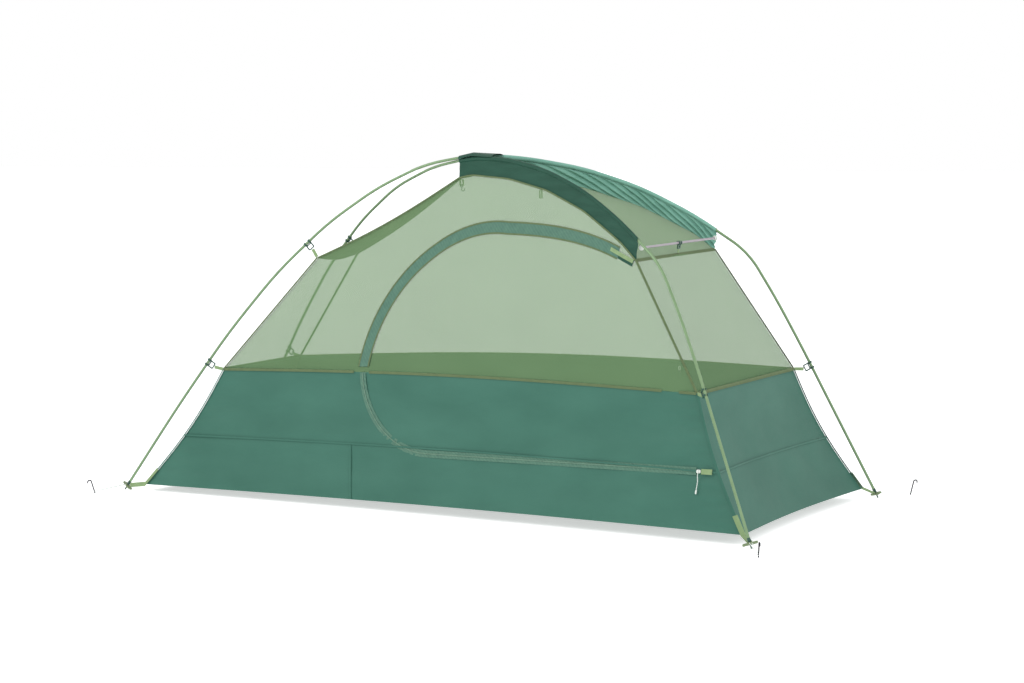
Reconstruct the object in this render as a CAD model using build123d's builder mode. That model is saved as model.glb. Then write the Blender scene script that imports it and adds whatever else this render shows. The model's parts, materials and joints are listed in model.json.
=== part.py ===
from build123d import *
from math import radians, tan
import os

os.makedirs("parts", exist_ok=True)

# A one-person tent, pitched: a coated-cloth tub under a mesh canopy, hung from two poles that cross
# near the top. +X points to the wide head end, -Y to the side with the door, +Z up. The origin is on
# the ground, under the middle. All sizes are in millimetres.

# Tub
floor_length = 2130.0
head_width = 918.0
foot_width = 650.0
tub_height_head = 405.0
tub_height_foot = 390.0
seam_height_head = 180.0
seam_height_foot = 153.0
cloth_thickness = 2.0
cloth_gap = 0.3
base_lift = 1.3
floor_margin = 4.5

# Poles
pole_diameter = 8.5
pole_wall = 0.65
peak_height = 1052.0
peak_x = -80.0
head_tip_reach = 42.0
head_tip_spread = 34.0
foot_tip_reach = 75.0
foot_tip_spread = 13.0
ferrule_length = 36.0
joint_line = 0.4
shock_cord_diameter = 2.6
tip_length = 33.0
tip_pin_diameter = 4.6
tip_pin_length = 22.0
bar_seat = 16.5

# Canopy
clip_lift = 10.0
head_clip_reach = 42.0
head_clip_spread = 40.0
foot_clip_reach = 53.0
foot_clip_spread = 10.0
foot_clip_drop = 22.0
upper_clip_height = 791.0
canopy_foot_reach = 35.0
canopy_foot_spread = 3.0
canopy_foot_drop = 47.0
sleeve_end_height = 829.0
band_depth = 58.0
band_flare = 8.0
ridge_half_width = 6.0
sleeve_wall = 1.2
band_top_gap = 4.5
sleeve_play = 1.2
hood_length = 135.0

# Spreader
spreader_diameter = 7.0
spreader_inset = 24.0
spreader_drop = 22.0
spreader_ring_radius = 7.5

# Door and zip
door_top_x = 590.0
door_top_z = 790.0
door_bottom_x = 900.0
door_top_fall = 0.36
door_front_x = -283.0
door_crown_x = 160.0
door_crown_z = 849.0
door_crown_radius = 335.0
door_foot_radius = 262.0
door_gap = 3.0
zip_flap_width = 40.0
zip_tape_width = 9.0
zip_tape_thickness = 0.8
coil_width = 3.2
coil_height = 3.4
coil_rise = 2.0
zip_flap_thickness = 1.0
zip_end_inset = 4.0
slider_inset = 10.0
slider_length = 13.0
slider_width = 10.0
slider_roof = 1.6
slider_play = 1.2
slider_travel = 820.0
arch_length = 9.0
arch_rise = 3.6
arch_wall = 1.0
arch_width = 3.0
link_reach = 7.0
link_width = 1.6
link_ring_radius = 2.7
link_hole_radius = 1.9
pull_cord_diameter = 2.4
grip_length = 13.0
grip_radius = 2.6
end_tab_length = 34.0
end_tab_width = 15.0

# Clips, straps and corners
clip_width = 22.0
clip_reach = 24.0
clip_plate = 3.4
spreader_clip_reach = 18.0
spreader_clip_width = 18.0
jaw_width = 5.0
jaw_wall = 2.4
jaw_play = 0.3
strap_width = 10.0
strap_thickness = 1.2
tab_width = 18.0
tab_thickness = 1.6
bar_length = 44.0
bar_depth = 17.0
bar_thickness = 5.0

# Stakes and their cords
stake_diameter = 4.0
stake_rise = 44.0
stake_lean = 12.0
stake_hook_radius = 6.0
head_stake_x = 1172.0
head_stake_y = 600.0
foot_stake_x = -1177.5
foot_stake_y = 444.0
cord_diameter = 2.0
cord_height = 7.0

# Small fittings on the canopy
lantern_loop_height = 20.0
lantern_loop_width = 8.0
eye_height = 9.0
hook_rod = 1.2
hook_stem = 12.0
hook_bend = 4.5
hang_loop_height = 26.0
tie_loop_height = 12.0
toggle_length = 17.0

pole_radius = pole_diameter / 2
inside = Vector(0, 0, 250)


def mirrored(point):
    return Vector(point.X, -point.Y, point.Z)


def between(first, last, share):
    return first + (last - first) * share


def at_height(leg, height):
    # The point of a rising or falling leg that is at a height.
    for one, other in zip(leg, leg[1:]):
        low, high = sorted((one, other), key=lambda point: point.Z)
        if low.Z <= height <= high.Z:
            return between(low, high, (height - low.Z) / (high.Z - low.Z))


def bend_radii(points, share=0.36):
    # Each arc takes up a share of the shorter of its two runs.
    radii = []
    for before, here, after in zip(points, points[1:], points[2:]):
        turn = radians((here - before).get_angle(after - here))
        shorter = min((here - before).length, (after - here).length)
        radii.append(share * shorter / tan(turn / 2))
    return radii


def tube(points, radius, bore=0.0, radii=None):
    # A round tube or rod along straight runs joined by tangent arcs.
    with BuildPart() as rod:
        with BuildLine() as path:
            if len(points) > 2:
                FilletPolyline(*points, radius=radii or bend_radii(points))
            else:
                Line(*points)
        with BuildSketch(Plane(origin=path.line @ 0, z_dir=path.line % 0)):
            Circle(radius)
            if bore:
                Circle(bore, mode=Mode.SUBTRACT)
        sweep()
    return rod.part


def section_plane(low, high, beside):
    # Its X runs up the cloth and its Y points to the inside of the tent.
    up = (high - low).normalized()
    inward = (beside - low).cross(up).normalized()
    if inward.dot(inside - low) < 0:
        inward = -inward
    return Plane(origin=low, x_dir=up, z_dir=up.cross(inward))


def cloth(lows, highs, thickness=cloth_thickness, lift=0.0):
    # A thin ruled sheet between two edges; a lift stands it off towards the outside.
    besides = lows[1:] + [lows[-2]]
    with BuildPart() as sheet:
        for low, high, beside in zip(lows, highs, besides):
            with BuildSketch(section_plane(low, high, beside)):
                with Locations((0, -lift)):
                    Rectangle((high - low).length, thickness, align=(Align.MIN, Align.MIN))
        loft(ruled=True)
    return sheet.part


def strip(start, end, width, thickness, across):
    # A flat strap between two points, its width along a given direction.
    run = end - start
    with BuildPart() as strap:
        with BuildSketch(Plane(origin=start, x_dir=across, z_dir=run)):
            Rectangle(width, thickness)
        extrude(amount=run.length)
    return strap.part


def save(piece, name):
    piece.label = name
    export_step(piece, f"parts/{name}.step")


def save_group(pieces, name):
    # Pieces that don't touch, kept as separate solids of one sub-part.
    with BuildPart() as group:
        for piece in pieces:
            add(piece)
    save(group.part, name)


def far_copy(piece):
    return mirror(piece, about=Plane.XZ, mode=Mode.PRIVATE)


# Pole routes
# One pole runs from a head corner to the opposite foot corner, and the other is its mirror image.
# Shares of the way from the crossing to the tip, of the tip's half width and of the peak's height.
head_shares = [
    (1.0, 1.0, 0.0), (0.823, 0.773, 0.452), (0.766, 0.708, 0.587), (0.700, 0.637, 0.725),
    (0.573, 0.505, 0.833), (0.446, 0.373, 0.914), (0.311, 0.239, 0.970), (0.176, 0.122, 1.000),
    (0.042, 0.024, 1.009),
]
foot_shares = [
    (0.104, 0.077, 0.981), (0.250, 0.172, 0.916), (0.396, 0.296, 0.813), (0.547, 0.450, 0.666),
    (0.692, 0.612, 0.483), (0.838, 0.787, 0.265), (1.0, 1.0, 0.0),
]
head_tip = Vector(floor_length / 2 + head_tip_reach, head_width / 2 + head_tip_spread, 0)
foot_tip = Vector(-floor_length / 2 - foot_tip_reach, foot_width / 2 + foot_tip_spread, 0)


def route_point(shares, tip, side):
    along, across, up = shares
    return Vector(peak_x + along * (tip.X - peak_x), side * across * tip.Y, up * peak_height)


head_route = [route_point(shares, head_tip, -1) for shares in head_shares]
foot_route = [route_point(shares, foot_tip, 1) for shares in foot_shares]
cross_lift = pole_radius + 0.2


def lifted_route(lift):
    # Close to the crossing one pole is over the other.
    points = head_route[:-1] + [head_route[-1] + Vector(0, 0, lift)]
    return points + [foot_route[0] + Vector(0, 0, lift)] + foot_route[1:]


low_route = lifted_route(-cross_lift)
high_route = [mirrored(point) for point in lifted_route(cross_lift)]

# Each pole is made of tube sections that meet over a ferrule in the middle of every other run.
section_cuts = range(1, len(low_route) - 2, 2)


def run_middle(route, run):
    return between(route[run], route[run + 1], 0.5)


def pole_sections(route):
    # The points and bends of each section, from the middle of one run to the middle of another.
    radii = bend_radii(route)
    sections = []
    firsts = [0] + [cut + 1 for cut in section_cuts]
    lasts = list(section_cuts) + [len(route) - 1]
    for first, last in zip(firsts, lasts):
        points = route[first:last + 1]
        bends = radii[max(first - 1, 0):last]
        if first:
            points.insert(0, run_middle(route, first - 1))
        if last < len(route) - 1:
            points.append(run_middle(route, last))
        sections.append((points, bends))
    return sections


def trimmed(points, start=0.0, end=0.0):
    # The same route with its first and last runs shortened.
    first = points[0] + (points[1] - points[0]).normalized() * start
    last = points[-1] + (points[-2] - points[-1]).normalized() * end
    return [first] + points[1:-1] + [last]


def ferrule_ends(route, cut):
    joint = run_middle(route, cut)
    reach = (route[cut + 1] - route[cut]).normalized() * ferrule_length / 2
    return [joint - reach, joint + reach]


pole_bore = pole_radius - pole_wall
ferrule_radius = pole_bore - 0.02
ferrule_bore = shock_cord_diameter / 2 + 0.6
ferrules = []
shock_cords = []
for pole, route in (("low_pole", low_route), ("high_pole", high_route)):
    ends = [tip_length] + [joint_line / 2] * len(section_cuts)
    tubes = []
    for (points, bends), start, end in zip(pole_sections(route), ends, ends[::-1]):
        tubes.append(tube(trimmed(points, start, end), pole_radius, pole_bore, bends))
    save(tubes[0], f"{pole}_head_leg")
    save(tubes[1], f"{pole}_elbow_section")
    save_group(tubes[2:4], f"{pole}_peak_sections")
    save_group(tubes[4:], f"{pole}_foot_sections")
    ferrules += [tube(ferrule_ends(route, cut), ferrule_radius, ferrule_bore) for cut in section_cuts]
    cord_route = trimmed(route, tip_length + 1, tip_length + 1)
    shock_cords.append(tube(cord_route, shock_cord_diameter / 2, radii=bend_radii(route)))
save_group(ferrules, "pole_ferrules")
save_group(shock_cords, "pole_shock_cords")

# Tips: a cap over each tube end, with a pin that goes through the corner bar to the ground.
leg_feet = []
for leg in (head_route, [mirrored(point) for point in foot_route[::-1]]):
    rise = (leg[1] - leg[0]).normalized()
    leg_feet += [(leg[0], rise), (mirrored(leg[0]), mirrored(rise))]


def pole_tip(foot, rise):
    shoulder = foot + rise * tip_pin_length
    with BuildPart() as tip:
        with BuildSketch(Plane(origin=foot + rise * (tip_pin_diameter / 2), z_dir=rise)):
            Circle(tip_pin_diameter / 2)
        extrude(amount=tip_pin_length)
        with BuildSketch(Plane(origin=shoulder, z_dir=rise)):
            Circle(pole_radius + 0.8)
        extrude(amount=tip_length - tip_pin_length - 0.2)
    return tip.part


save_group([pole_tip(foot, rise) for foot, rise in leg_feet], "pole_tips")

# Corners of the cloth, on the near side
base_head = Vector(floor_length / 2, -head_width / 2, base_lift)
base_foot = Vector(-floor_length / 2, -foot_width / 2, base_lift)
near_foot_leg = [mirrored(point) for point in foot_route]
head_clip_spot = at_height(head_route, tub_height_head + clip_lift)
lower_clip_spot = at_height(near_foot_leg, tub_height_foot + foot_clip_drop)
upper_clip_spot = at_height(near_foot_leg, upper_clip_height)
sleeve_end = at_height(head_route, sleeve_end_height)
tub_head = head_clip_spot + Vector(-head_clip_reach, head_clip_spread, -clip_lift)
tub_foot = lower_clip_spot + Vector(foot_clip_reach, foot_clip_spread, -foot_clip_drop)
seam_head = between(base_head, tub_head, seam_height_head / tub_height_head)
seam_foot = between(base_foot, tub_foot, seam_height_foot / tub_height_foot)
canopy_head = sleeve_end + Vector(-8, 0, -band_depth)
canopy_foot = upper_clip_spot + Vector(canopy_foot_reach, canopy_foot_spread, -canopy_foot_drop)

# The sleeve bands hang from the poles, and the canopy's top edges are sewn to their feet.
arm_points = head_route[:3:-1]
band_feet = [Vector(peak_x, -ridge_half_width, peak_height - band_depth)]
band_feet += [point + Vector(0, -band_flare, -band_depth) for point in arm_points] + [canopy_head]
ridge = band_feet[0]

# Tub walls and floor
seam_step = Vector(0, 0, 2 * cloth_gap)
end_inset = cloth_thickness + 1.0


def wall(low_a, low_b, high_a, high_b, inset=0.0):
    run = (low_b - low_a).normalized() * inset
    return cloth([low_a + run, low_b - run], [high_a + run, high_b - run])


near_lower = wall(base_foot, base_head, seam_foot, seam_head)
near_upper = wall(seam_foot + seam_step, seam_head + seam_step, tub_foot, tub_head)
save(near_lower, "tub_near_lower")
save_group([far_copy(near_lower), far_copy(near_upper)], "tub_far_wall")
for end, base, seam, top in (("head", base_head, seam_head, tub_head),
                             ("foot", base_foot, seam_foot, tub_foot)):
    lower = wall(base, mirrored(base), seam, mirrored(seam), end_inset)
    seam = seam + seam_step
    upper = wall(seam, mirrored(seam), top, mirrored(top), end_inset)
    save_group([lower, upper], f"tub_{end}_wall")

with BuildPart() as floor_panel:
    with BuildSketch():
        with BuildLine():
            Polyline((base_foot.X, base_foot.Y), (base_head.X, base_head.Y),
                     (base_head.X, -base_head.Y), (base_foot.X, -base_foot.Y), close=True)
        make_face()
        offset(amount=-floor_margin, mode=Mode.REPLACE)
    extrude(amount=cloth_thickness)
save(floor_panel.part, "floor_panel")

# Canopy
canopy_tops = [canopy_foot, between(canopy_foot, ridge, 0.5)] + band_feet
travelled = [0.0]
for one, other in zip(canopy_tops, canopy_tops[1:]):
    travelled.append(travelled[-1] + (other - one).length)
canopy_lows = [between(tub_foot, tub_head, way / travelled[-1]) + seam_step for way in travelled]
side_inset = cloth_thickness + 1.5
near_canopy = cloth(canopy_lows, canopy_tops)
save(far_copy(near_canopy), "canopy_far_panel")
for end, low, high in (("head", tub_head, canopy_head), ("foot", tub_foot, canopy_foot)):
    low = low + seam_step
    save(wall(low, mirrored(low), high, mirrored(high), side_inset), f"canopy_{end}_panel")


def roof(feet):
    # A sheet across the tent, between an edge and its mirror image.
    narrowed = [Vector(foot.X, min(foot.Y + side_inset, -1.5), foot.Z) for foot in feet]
    return cloth(narrowed, [mirrored(foot) for foot in narrowed])


save(roof(band_feet[:-1] + [canopy_head - Vector(1.5, 0, 0)]), "canopy_roof_panel")
save(roof([canopy_foot + Vector(1.5, 0, 0), ridge - Vector(1.5, 0, 0)]), "canopy_ridge_panel")

# Door: an outline seen from the side, cut through the near side along Y
seam_rise = (seam_head.Z - seam_foot.Z) / (seam_head.X - seam_foot.X)
zip_rise = zip_tape_width + coil_width


def zip_line_z(x):
    return seam_foot.Z + (x - seam_foot.X) * seam_rise + zip_rise


door_turn_x = door_front_x + door_foot_radius
door_top = Vector(door_top_x, 0, door_top_z)
door_bottom = Vector(door_bottom_x, 0, zip_line_z(door_bottom_x))
door_turn = Vector(door_turn_x, 0, zip_line_z(door_turn_x))
door_front = Vector(door_front_x, 0, door_turn.Z + door_foot_radius)
door_crown = Vector(door_crown_x, 0, door_crown_z)
hinge_lean = (door_bottom.X - door_top.X) / (door_top.Z - door_bottom.Z)


def door_outline(grow, past_hinge):
    # The doorway as seen from the side, larger by grow at the zip and reaching past the hinge line.
    low = (door_bottom.X + past_hinge + grow * hinge_lean, door_bottom.Z - grow)
    turn = (door_turn.X, door_turn.Z - grow)
    front = (door_front.X - grow, door_front.Z)
    crown = (door_crown.X, door_crown.Z + grow)
    top = (door_top.X + past_hinge - grow * hinge_lean, door_top.Z + grow)
    with BuildSketch(Plane.XZ) as outline:
        with BuildLine():
            Line(low, turn)
            RadiusArc(turn, front, door_foot_radius + grow)
            TangentArc(front, crown, tangent=(0, 1))
            Spline(crown, top, tangents=[(1, 0), (1, -door_top_fall)])
            Line(top, low)
        make_face()
    return outline.sketch


def door_block(grow, past_hinge):
    with BuildPart() as block:
        extrude(door_outline(grow, past_hinge), amount=head_width, dir=(0, -1, 0))
    return block.part


def door_band(wide, narrow):
    # A band along the zip, short of the hinge line.
    with BuildPart() as band:
        add(door_block(wide, -door_gap - zip_end_inset))
        add(door_block(narrow, 0), mode=Mode.SUBTRACT)
    return band.part


def keep_common(skin, shape, name):
    with BuildPart() as piece:
        add(skin)
        add(shape, mode=Mode.INTERSECT)
    save(piece.part, name)


def keep_outside(skin, shape, name):
    with BuildPart() as piece:
        add(skin)
        add(shape, mode=Mode.SUBTRACT)
    save(piece.part, name)


doorway = door_block(door_gap, door_gap)
door_shape = door_block(-door_gap, -door_gap)
keep_outside(near_canopy, doorway, "canopy_near_panel")
keep_outside(near_upper, doorway, "tub_near_upper")
keep_common(near_canopy, door_shape, "door_mesh_panel")
keep_common(near_upper, door_shape, "door_tub_panel")

# Zip: a flap that rides on the door over the canopy, and two tapes and a coil on the tub.
tape_lift = zip_tape_thickness + cloth_gap


def tub_skin(thickness, lift):
    # A layer over the upper half of the near tub wall.
    return cloth([seam_foot, seam_head], [tub_foot, tub_head], thickness, lift)


near_skin = tub_skin(zip_tape_thickness, tape_lift)
flap_skin = cloth(canopy_lows, canopy_tops, zip_flap_thickness, zip_flap_thickness + cloth_gap)
tape_start = coil_width / 2 + 0.4
keep_common(flap_skin, door_band(zip_flap_width / 2, -zip_flap_width / 2), "door_zip_flap")
keep_common(near_skin, door_band(tape_start + zip_tape_width, tape_start), "zip_frame_tape")
keep_common(near_skin, door_band(-tape_start, -tape_start - zip_tape_width), "door_zip_tape")
coil_band = door_band(coil_width / 2, -coil_width / 2)
coils = []
for skin in (tub_skin(coil_height, coil_rise), cloth(canopy_lows, canopy_tops)):
    with BuildPart() as coil:
        add(skin)
        add(coil_band, mode=Mode.INTERSECT)
    coils.append(coil.part)
save_group(coils, "zip_coil")

# Zip slider: a cover over the raised coil, with an arch on top that the pull cord goes through.


def on_near_wall(x, z):
    # The point of the near tub wall's outer face with these X and Z.
    run = between(base_foot, base_head, (x - base_foot.X) / floor_length)
    top = between(tub_foot, tub_head, (x - tub_foot.X) / (tub_head.X - tub_foot.X))
    return Vector(x, between(run, top, z / top.Z).Y, z)


slider_x = door_bottom_x + slider_inset
zip_start = on_near_wall(slider_x, zip_line_z(slider_x))
zip_stop = on_near_wall(slider_x - slider_travel, zip_line_z(slider_x - slider_travel))
zip_run = (zip_stop - zip_start).normalized()
wall_drop = (on_near_wall(slider_x, 0) - on_near_wall(slider_x, 100)).normalized()
wall_out = zip_run.cross(wall_drop).normalized()
if wall_out.Y > 0:
    wall_out = -wall_out
slider_plane = Plane(origin=zip_start, x_dir=zip_run, z_dir=wall_out)
roof_height = coil_rise + slider_play
with BuildPart() as zip_slider:
    with BuildSketch(slider_plane.offset(roof_height)):
        RectangleRounded(slider_length, slider_width, slider_width / 2 - 1.5)
    extrude(amount=slider_roof)
    with BuildSketch(slider_plane.offset(tape_lift + slider_play)):
        lip_width = (slider_width - coil_width) / 2 - slider_play
        with Locations((0, (slider_width - lip_width) / 2), (0, -(slider_width - lip_width) / 2)):
            Rectangle(slider_length * 0.55, lip_width)
    extrude(amount=roof_height - tape_lift - slider_play)
    arch_plane = Plane(origin=zip_start + wall_out * (roof_height + slider_roof), x_dir=zip_run,
                       z_dir=zip_run.cross(wall_out))
    with BuildSketch(arch_plane.offset(-arch_width / 2)):
        SlotOverall(arch_length, arch_rise * 2)
        SlotOverall(arch_length - 2 * arch_wall, (arch_rise - arch_wall) * 2, mode=Mode.SUBTRACT)
        with Locations((0, -arch_rise - 0.1)):
            Rectangle(arch_length + 2, arch_rise * 2, mode=Mode.SUBTRACT)
    extrude(amount=arch_width)
save(zip_slider.part, "zip_slider")

# Pull cord: out of the arch and down along the wall, with a moulded grip on its end.
pull_out = roof_height + slider_roof + arch_rise - arch_wall / 2
pull_pivot = zip_start + wall_out * pull_out


def by_wall(down, out, aside):
    return zip_start + wall_drop * down + wall_out * out + zip_run * aside


pull_points = [by_wall(7.2, pull_out, 0), by_wall(14, pull_out - 0.4, 0.5),
               by_wall(22, 6.6, -0.8), by_wall(31, 6.0, -1.0),
               by_wall(41, 5.6, 0.4), by_wall(51, 5.8, 1.0)]
save(tube(pull_points, pull_cord_diameter / 2, radii=bend_radii(pull_points, 0.45)), "zip_pull_cord")
grip_run = (pull_points[-1] - pull_points[-2]).normalized()
with BuildPart() as zip_pull_grip:
    grip_plane = Plane(origin=pull_points[-1], x_dir=zip_run, z_dir=grip_run)
    with BuildSketch(grip_plane):
        Circle(pull_cord_diameter / 2 + 0.2)
    with BuildSketch(grip_plane.offset(grip_length * 0.6)):
        Circle(grip_radius)
    with BuildSketch(grip_plane.offset(grip_length)):
        Circle(grip_radius * 0.7)
    loft()
save(zip_pull_grip.part, "zip_pull_grip")
with BuildPart() as zip_pull_link:
    with BuildSketch(Plane(origin=pull_pivot, x_dir=wall_drop, z_dir=zip_run).offset(-link_width / 2)):
        Circle(link_ring_radius)
        with Locations((link_reach / 2, 0)):
            Rectangle(link_reach, 1.4)
        Circle(link_hole_radius, mode=Mode.SUBTRACT)
    extrude(amount=link_width)
save(zip_pull_link.part, "zip_pull_link")

# Zip end tab: folded webbing sewn over the lower end of the zip.
tab_start = zip_start + wall_out * 3.5 - zip_run * (end_tab_length + slider_length / 2 + 2)
save(strip(tab_start, tab_start + zip_run * end_tab_length, end_tab_width, tab_thickness, wall_drop),
     "zip_end_tab")

# Sleeve bands, tubes and hood
sleeve_bore = pole_radius + sleeve_play
sleeve_radius = sleeve_bore + sleeve_wall
band_top_drop = Vector(0, 0, -sleeve_radius - band_top_gap)
band_tops = [Vector(peak_x, -3.5, peak_height - cross_lift), arm_points[0] - Vector(0, 0, cross_lift)]
band_tops = [point + band_top_drop for point in band_tops + arm_points[1:] + [sleeve_end]]
band_bottoms = [foot + Vector(0, 0, 1) for foot in band_feet]
near_band = cloth(band_bottoms, band_tops)
save(near_band, "near_sleeve_band")
save(far_copy(near_band), "far_sleeve_band")
sleeves = []
for route in (low_route, high_route):
    radii = bend_radii(route)
    points = [between(route[8], route[7], 0.5)] + route[7:3:-1]
    points.append(at_height(route[2:5], sleeve_end_height + 8))
    sleeves.append(tube(points, sleeve_radius, sleeve_bore, radii[6:2:-1]))
save_group(sleeves, "pole_sleeves")
hood_rise = cross_lift + pole_radius + cloth_thickness + 2.5
hood_tail = between(high_route[8], high_route[7], 0.5)
hood_edges = [Vector(peak_x - 2, -12, peak_height + hood_rise),
              Vector(head_route[-1].X, -22, head_route[-1].Z + hood_rise),
              Vector(peak_x + hood_length, -42, hood_tail.Z + sleeve_radius + cloth_thickness + 2.5)]
save(cloth(hood_edges, [mirrored(point) for point in hood_edges]), "crossing_hood")

# Spreader pole between the two sleeve ends
spreader_end = sleeve_end + Vector(2, spreader_inset, -spreader_drop)
spreader_middle = Vector(spreader_end.X, 0, spreader_end.Z)
half_gap = Vector(0, joint_line / 2, 0)
spreader_halves = [tube([spreader_end, spreader_middle - half_gap], spreader_diameter / 2,
                        spreader_diameter / 2 - pole_wall)]
spreader_halves.append(far_copy(spreader_halves[0]))
save_group(spreader_halves, "spreader_tubes")
save(tube([spreader_middle - Vector(0, 30, 0), spreader_middle + Vector(0, 30, 0)],
          spreader_diameter / 2 - pole_wall - 0.02), "spreader_ferrule")


def spreader_cap(end, aim):
    with BuildPart() as cap:
        with BuildSketch(Plane(origin=end + aim * 0.3, z_dir=aim)):
            Circle(spreader_diameter / 2 + 0.8)
        extrude(amount=6)
        with BuildSketch(Plane(origin=end + aim * 6.3, z_dir=aim)):
            Circle(spreader_ring_radius)
        extrude(amount=3)
    return cap.part


near_cap = spreader_cap(spreader_end, Vector(0, -1, 0))
save_group([near_cap, far_copy(near_cap)], "spreader_end_rings")

# Clips: two jaws round the pole, a plate with a slot, and a strap from the slot to the cloth
jaw_bore = pole_radius + jaw_play


def clip(spot, along, toward, bore, reach, width):
    side = along.cross(toward).normalized()
    jaw_middle = (width - jaw_width) / 2
    with BuildPart() as body:
        for place in (-jaw_middle, jaw_middle):
            plane = Plane(origin=spot + along * (place - jaw_width / 2), x_dir=toward, z_dir=along)
            with BuildSketch(plane):
                Circle(bore + jaw_wall)
                with Locations((-bore - jaw_wall, 0)):
                    Rectangle(2 * bore, bore * 1.1, mode=Mode.SUBTRACT)
                Circle(bore, mode=Mode.SUBTRACT)
            extrude(amount=jaw_width)
        with BuildSketch(Plane(origin=spot - side * clip_plate / 2, x_dir=toward, z_dir=side)):
            start = bore + jaw_wall / 2
            with Locations(((start + reach) / 2, 0)):
                RectangleRounded(reach - start, width, 3)
            with Locations((start + 2.5 + (reach - start - 5) / 2, 0)):
                RectangleRounded(reach - start - 6, width - 7, 1.5, mode=Mode.SUBTRACT)
        extrude(amount=clip_plate)
    return body.part


def leg_direction(leg, height):
    return (at_height(leg, height + 5) - at_height(leg, height - 5)).normalized()


def clip_set(spot, leg, corner):
    along = leg_direction(leg, spot.Z)
    pull = corner - spot
    toward = (pull - along * pull.dot(along)).normalized()
    body = clip(spot, along, toward, jaw_bore, clip_reach, clip_width)
    slot = spot + toward * (clip_reach + 2.8)
    hold = (corner - slot).normalized()
    strap = strip(slot, corner - hold * 4, strap_width, strap_thickness, along)
    return body, strap


clip_bodies = []
clip_straps = []
for name, spot, leg, corner in (("head_clips", head_clip_spot, head_route, tub_head),
                                ("lower_foot_clips", lower_clip_spot, near_foot_leg, tub_foot),
                                ("upper_foot_clips", upper_clip_spot, near_foot_leg, canopy_foot)):
    body, strap = clip_set(spot, leg, corner)
    save_group([body, far_copy(body)], name)
    clip_straps += [strap, far_copy(strap)]
roof_edge_middle = Vector(canopy_head.X + 6, 0, canopy_head.Z + 4)
roof_pull = (roof_edge_middle - spreader_middle).normalized()
save(clip(spreader_middle, Vector(0, 1, 0), roof_pull, spreader_diameter / 2 + jaw_play,
          spreader_clip_reach, spreader_clip_width), "spreader_clip")
clip_straps.append(strip(spreader_middle + roof_pull * (spreader_clip_reach + 0.5),
                         roof_edge_middle - roof_pull * 2, 8.0, strap_thickness, Vector(0, 1, 0)))
save_group(clip_straps, "clip_straps")

# Corners: a webbing tab from the tub to a bar that the pole's pin goes through
lean_at_cord = stake_lean * cord_height / (stake_rise - stake_hook_radius)
tabs = []
bars = []
guys = []
stakes = []
for (foot, rise), base, stake in ((leg_feet[0], base_head, Vector(head_stake_x, -head_stake_y, 0)),
                                  (leg_feet[2], base_foot, Vector(foot_stake_x, -foot_stake_y, 0))):
    middle = foot + rise * bar_seat
    outward = (stake - foot).normalized()
    across = Vector(0, 0, 1).cross(outward).normalized()
    up_out = across.cross(rise).normalized()
    if up_out.dot(outward) < 0:
        up_out = -up_out
    with BuildPart() as bar:
        with BuildSketch(Plane(origin=middle - rise * bar_thickness / 2, x_dir=across, z_dir=rise)):
            RectangleRounded(bar_length, bar_depth, 5)
            Circle(tip_pin_diameter / 2 + 0.4, mode=Mode.SUBTRACT)
        extrude(amount=bar_thickness)
    bars += [bar.part, far_copy(bar.part)]
    inner = middle - up_out * (bar_depth / 2 + 9)
    corner = base + Vector(0, 0, 9)
    hold = (corner - inner).normalized()
    tab = strip(inner, corner - hold * 3.0, tab_width, tab_thickness, across)
    tabs += [tab, far_copy(tab)]
    # The cord goes from the bar round the stake and back.
    start = middle + up_out * (bar_depth / 2 + 0.5 + cord_diameter / 2)
    hook = stake + outward * lean_at_cord + Vector(0, 0, cord_height)
    hook_run = (hook - start).normalized()
    half = stake_diameter / 2 + cord_diameter / 2 + 0.4
    cord_side = Vector(0, 0, 1).cross(hook_run).normalized() * half
    beyond = hook + hook_run * half
    route = [start + cord_side, beyond + cord_side, beyond - cord_side, start - cord_side]
    guy = tube(route, cord_diameter / 2, radii=[half * 0.98] * 2)
    guys += [guy, far_copy(guy)]
    lean = outward * stake_lean
    top = stake + lean + Vector(0, 0, stake_rise - stake_hook_radius)
    over = top + Vector(0, 0, stake_hook_radius) + lean * 0.2
    reach = outward * 2 * stake_hook_radius
    stake_route = [stake, over, over + reach, over + reach - Vector(0, 0, stake_hook_radius + 3)]
    peg = tube(stake_route, stake_diameter / 2, radii=[stake_hook_radius * 0.85] * 2)
    with BuildPart() as trimmed_peg:
        add(peg)
        split(bisect_by=Plane.XY.offset(0.0))
    stakes += [trimmed_peg.part, far_copy(trimmed_peg.part)]
save_group(tabs, "corner_tabs")
save_group(bars, "corner_bars")
for place, guy, peg in zip(("near_head", "far_head", "near_foot", "far_foot"), guys, stakes):
    save(guy, f"{place}_stake_cord")
save_group(stakes, "stakes")

# Lantern hook inside the peak
loop_top = Vector(peak_x + 6, 0, ridge.Z - 4)
with BuildPart() as lantern_loop:
    with BuildSketch(Plane.XZ.offset(-lantern_loop_width / 2)):
        with Locations((loop_top.X, loop_top.Z - lantern_loop_height / 2)):
            RectangleRounded(12, lantern_loop_height, 4)
            RectangleRounded(12 - 2 * strap_thickness, lantern_loop_height - 2 * strap_thickness, 2.8,
                             mode=Mode.SUBTRACT)
    extrude(amount=lantern_loop_width)
save(lantern_loop.part, "lantern_loop")
hook_pivot = loop_top - Vector(0, 0, lantern_loop_height - strap_thickness / 2)
eye_half = lantern_loop_width / 2 + 1.2
stem_top = hook_pivot - Vector(0, 0, eye_height / 2 + 0.3)
hook_low = -hook_stem
stem_points = [(0, 0), (0, hook_low), (2 * hook_bend, hook_low), (2 * hook_bend, hook_low + hook_bend + 4)]
hook_shank = tube([stem_top + Vector(x, 0, z) for x, z in stem_points], hook_rod,
                  radii=[hook_bend * 0.98] * 2)
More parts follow.
